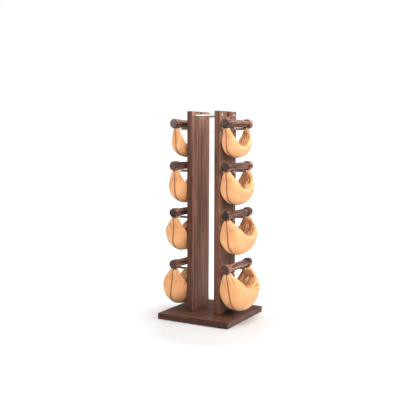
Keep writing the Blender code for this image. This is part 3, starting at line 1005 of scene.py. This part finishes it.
def pucker(bag):
    """Short creases that fan out over both sides from the ends of the hollow."""
    level, mesh = bag["level"], bag["obj"].data
    rng = random.Random(900 + bag["seed"])
    points, normals = positions(mesh), vertex_normals(mesh)
    push = np.zeros(len(points))
    for end, strength in ((-1.0, PUCKER_NEAR), (1.0, 1.0)):
        ahead = end * (points[:, 1] - level["shift"]) - PUCKER_FROM
        up = points[:, 2] + level["gap"] + PUCKER_BELOW
        reach, angle = np.hypot(ahead, up), np.degrees(np.arctan2(up, ahead))
        for hand in (-1.0, 1.0):
            side = np.clip((hand * normals[:, 0] - 0.15) / 0.35, 0.0, 1.0)
            for k in range(PUCKERS):
                at = PUCKER_LOWEST + PUCKER_FAN * (k + rng.uniform(0.15, 0.85)) / PUCKERS
                deep = strength * rng.uniform(0.0022, 0.0050)
                far = rng.uniform(0.032, 0.062)
                bend = rng.uniform(-500.0, 500.0)
                gap = (angle - at - bend * (reach - 0.02)) / rng.uniform(7.0, 11.0)
                share = np.clip((reach - 0.003) / 0.008, 0.0, 1.0)
                share *= np.clip((far - reach) / 0.018, 0.0, 1.0)
                push -= deep * side * share * (np.exp(-gap ** 2) - 0.35 * np.exp(-(gap / 2.2) ** 2))
    write(mesh, points + normals * push[:, None])


def paint_hollows(mesh):
    """0.5 on plain leather, towards 1 in creases and towards 0 on ridges. The leather paints shade in
    creases and a highlight on ridges from it.
    """
    points, normals = positions(mesh), vertex_normals(mesh)
    depth = np.zeros(len(points))
    for rounds, scale in ((4, 0.0005), (24, 0.0020)):
        gap = ((neighbour_mean(mesh, points, rounds) - points) * normals).sum(axis=1)
        depth += np.clip(gap / scale, -1.0, 1.0) * 0.5
    depth -= np.median(depth)
    paint(mesh, "hollow", np.clip(0.5 + 0.5 * depth, 0.0, 1.0))


def clear_of_knobs(mesh):
    """Keep the necks just under the knobs that they are fastened to."""
    points = positions(mesh)
    radius = np.hypot(points[:, 0], points[:, 2])
    cap_middle = np.hypot(points[:, 0], np.abs(points[:, 1]) - NECK_CENTRE) < 0.5 * NECK_HALF_LENGTH
    clearance = np.where(cap_middle, CAP_CLEARANCE, KNOB_CLEARANCE)
    grow = np.maximum(1.0, (KNOB_RADIUS + clearance) / np.maximum(radius, 1e-6))
    points[:, 0] *= grow
    points[:, 2] *= grow
    write(mesh, points)


def clear_of_upright(bag):
    """Flatten the bag where it would press into its upright, at rest or swung in against it."""
    sign = outward(bag["side"])
    low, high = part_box(f"{bag['side']}_upright")
    face = (high.x if sign > 0 else -low.x) + FACE_CLEARANCE
    axis = bag["place"].translation
    points = positions(bag["obj"].data)
    for degrees in (0.0, bag["level"]["swings_in"]):
        turn = math.radians(degrees)
        out = sign * (points[:, 0] - axis.x) * math.cos(turn)
        out += (points[:, 2] - axis.z) * math.sin(turn)
        short = np.maximum(face - sign * axis.x - out, 0.0) / math.cos(turn)
        points[:, 0] += sign * short
    write(bag["obj"].data, points)


def swept(name, path, outs, sides, outline, material):
    """A solid strip whose (across, out) outline follows path."""
    points = []
    for centre, out, side in zip(path, outs, sides):
        points += [centre + side * across + out * up for across, up in outline]
    return new_piece(name, points, tube_faces(len(path), len(outline)), material)


def keel_frame(bag):
    """Path along the keel of the finished bag, with outward and sideways directions."""
    mesh, rows = bag["obj"].data, 2 * ROWS + 1
    keel = np.arange(rows) * bag["columns"]
    path = [Vector(point) for point in positions(mesh)[keel]]
    outs = [Vector(normal) for normal in vertex_normals(mesh)[keel]]
    dense_path, dense_outs = [], []
    for r in range(rows - 1):
        a, b = path[max(r - 1, 0)], path[r]
        c, d = path[r + 1], path[min(r + 2, rows - 1)]
        for i in range(SEAM_STEPS):
            u = i / SEAM_STEPS
            point = 0.5 * (2 * b + (c - a) * u + (2 * a - 5 * b + 4 * c - d) * u ** 2
                           + (3 * b - a - 3 * c + d) * u ** 3)
            dense_path.append(point)
            dense_outs.append(outs[r].lerp(outs[r + 1], u).normalized())
    dense_path.append(path[-1])
    dense_outs.append(outs[-1])
    dense_sides = []
    for i, out in enumerate(dense_outs):
        ahead = dense_path[min(i + 1, len(dense_path) - 1)] - dense_path[max(i - 1, 0)]
        dense_sides.append(out.cross(ahead).normalized())
    return dense_path, dense_outs, dense_sides


def build_seam(bag, edge_material, thread_material):
    """The two cut edges of the hide, standing up along the keel, and a row of stitches each side."""
    path, outs, sides = keel_frame(bag)
    wavy = [
        p + s * (SEAM_WANDER * noise.noise(Vector((i * 0.09, bag["seed"] * 5.3, 0.0))))
        for i, (p, s) in enumerate(zip(path, sides))
    ]
    seam = swept(f"{bag['stem']}_bag_seam", wavy, outs, sides, SEAM_OUTLINE, edge_material)
    show_as(seam, bag["body"], "tan_leather")
    lengths = [0.0]
    for a, b in zip(path, path[1:]):
        lengths.append(lengths[-1] + (b - a).length)
    points, faces = [], []
    at, k = STITCH_MARGIN, 0
    while at < lengths[-1] - STITCH_MARGIN:
        while lengths[k + 1] < at:
            k += 1
        ahead = (path[k + 1] - path[k]).normalized()
        for hand in (-1, 1):
            near = path[k] + sides[k] * hand * STITCH_OFFSET
            hit, normal, _, _ = bag["surface"].find_nearest(near)
            add_stitch(points, faces, hit + normal * STITCH_LIFT, ahead, normal)
        at += STITCH_SPACING
    stitches = new_piece(f"{bag['stem']}_bag_stitches", points, faces, thread_material)
    show_as(stitches, bag["body"], "tan_leather")


def add_stitch(points, faces, centre, ahead, out):
    """One short rounded loop of thread lying along the seam."""
    ahead = (ahead - out * ahead.dot(out)).normalized()
    side = out.cross(ahead)
    faces += tube_faces(len(STITCH_RINGS), STITCH_SIDES, len(points))
    for along, scale in STITCH_RINGS:
        middle = centre + ahead * (along * STITCH_LENGTH / 2)
        sink = STITCH_SINK * along ** 4
        for k in range(STITCH_SIDES):
            a = math.tau * k / STITCH_SIDES
            radial = side * math.cos(a) + out * math.sin(a)
            points.append(middle + radial * (STITCH_RADIUS * scale) - out * sink)


def start_bag(level, side, centre):
    """A loose bag in its own frame, and where it will hang."""
    stem = f"{side}_{level['weight']}kg"
    seed = level["weight"] * 2 + (side == "left")
    rows = bag_grid(level, seed)
    hide = leather(f"leather_{stem}", (0.31 * seed, 0.17 * seed, 0.0))
    turn = Matrix.Rotation(0.0 if side == "right" else math.pi, 4, "Z")
    lean = Matrix.Rotation(-math.radians(level["lean"]), 4, "Y")
    return {
        "obj": grid_mesh(f"{stem}_bag_hide", rows, hide), "columns": len(rows[0]),
        "level": level, "side": side, "stem": stem, "seed": seed,
        "body": f"{stem}_bag", "place": Matrix.Translation(centre) @ turn @ lean,
    }


def finish_bag(bag, edge, stitching):
    """Crease the settled bag, hang it up and sew it."""
    obj, stem = bag["obj"], bag["stem"]
    shape_rims(bag)
    subdivide(obj)
    pucker(bag)
    clear_of_knobs(obj.data)
    obj.data.transform(bag["place"])
    obj.data.update()
    clear_of_upright(bag)
    paint_hollows(obj.data)
    points = [v.co for v in obj.data.vertices]
    bag["surface"] = BVHTree.FromPolygons(points, [tuple(p.vertices) for p in obj.data.polygons])
    build_seam(bag, edge, stitching)
    show_as(obj, bag["body"], "tan_leather", f"{stem}_leather_bag", f"{stem}_shot_fill")


def build_weights():
    edge, stitching = raw_edge("leather_raw_edge"), thread("waxed_thread")
    bags = []
    for level in LEVELS:
        for side in SIDES:
            centre = build_handle(level, side)
            bags.append(start_bag(level, side, centre))
    settle_cloth(bags)
    for bag in bags:
        finish_bag(bag, edge, stitching)


# Studio

def add_light(name, energy, size, place):
    data = bpy.data.lights.new(name, "AREA")
    data.energy = energy
    data.shape = "RECTANGLE"
    data.size, data.size_y = size
    light = bpy.data.objects.new(name, data)
    bpy.context.scene.collection.objects.link(light)
    light.location = place
    light.rotation_euler = (Vector(LIGHT_TARGET) - Vector(place)).to_track_quat("-Z", "Y").to_euler()


def build_world():
    """Seen as plain white. It lights the rack from pale walls and a dimmer ceiling."""
    world = bpy.data.worlds.new("white_room")
    world.use_nodes = True
    nodes, links = world.node_tree.nodes, world.node_tree.links
    background = nodes["Background"]
    coordinates = nodes.new("ShaderNodeTexCoord")
    split = nodes.new("ShaderNodeSeparateXYZ")
    fade = nodes.new("ShaderNodeMapRange")
    limits = (WALL_UP_TO, CEILING_FROM, WALL_LIGHT, CEILING_LIGHT)
    for name, value in zip(("From Min", "From Max", "To Min", "To Max"), limits):
        fade.inputs[name].default_value = value
    links.new(coordinates.outputs["Generated"], split.inputs[0])
    links.new(split.outputs["Z"], fade.inputs["Value"])
    seen = nodes.new("ShaderNodeLightPath").outputs["Is Camera Ray"]
    choice = nodes.new("ShaderNodeMix")
    choice.inputs[3].default_value = 1.0
    links.new(seen, choice.inputs[0])
    links.new(fade.outputs["Result"], choice.inputs[2])
    links.new(choice.outputs[0], background.inputs["Strength"])
    background.inputs["Color"].default_value = (1.0, 1.0, 1.0, 1.0)
    bpy.context.scene.world = world


def build_studio():
    reach = FLOOR_REACH
    corners = [(-reach, -reach, 0), (reach, -reach, 0), (reach, reach, 0), (-reach, reach, 0)]
    floor = new_piece("floor", corners, [(0, 1, 2, 3)], pale_floor("white_floor"), smooth=False)
    build_world()
    for name, energy, size, place in LIGHTS:
        add_light(name, energy, size, place)
    bpy.context.scene.view_settings.view_transform = "Standard"


def build_camera():
    a, p = CAMERA_AZIMUTH, CAMERA_PITCH
    back = Vector((math.sin(a) * math.cos(p), -math.cos(a) * math.cos(p), math.sin(p)))
    right = Vector((math.cos(a), math.sin(a), 0.0))
    up = back.cross(right)
    rolled = right * math.cos(CAMERA_ROLL) + up * math.sin(CAMERA_ROLL)
    up = back.cross(rolled)
    place = back * CAMERA_DISTANCE + right * CAMERA_SIDE + Vector((0.0, 0.0, CAMERA_HEIGHT))
    data = bpy.data.cameras.new("camera")
    data.lens = CAMERA_LENS
    data.sensor_width = 36.0
    camera = bpy.data.objects.new("camera", data)
    bpy.context.scene.collection.objects.link(camera)
    camera.matrix_world = Matrix((
        (rolled.x, up.x, back.x, place.x),
        (rolled.y, up.y, back.y, place.y),
        (rolled.z, up.z, back.z, place.z),
        (0.0, 0.0, 0.0, 1.0),
    ))
    bpy.context.scene.camera = camera


bars = steel("bright_steel_bars", 0)
dress_stand()
build_pins(bars)
build_rods(bars)
build_rod_screws(bars)
build_weights()
build_studio()
build_camera()
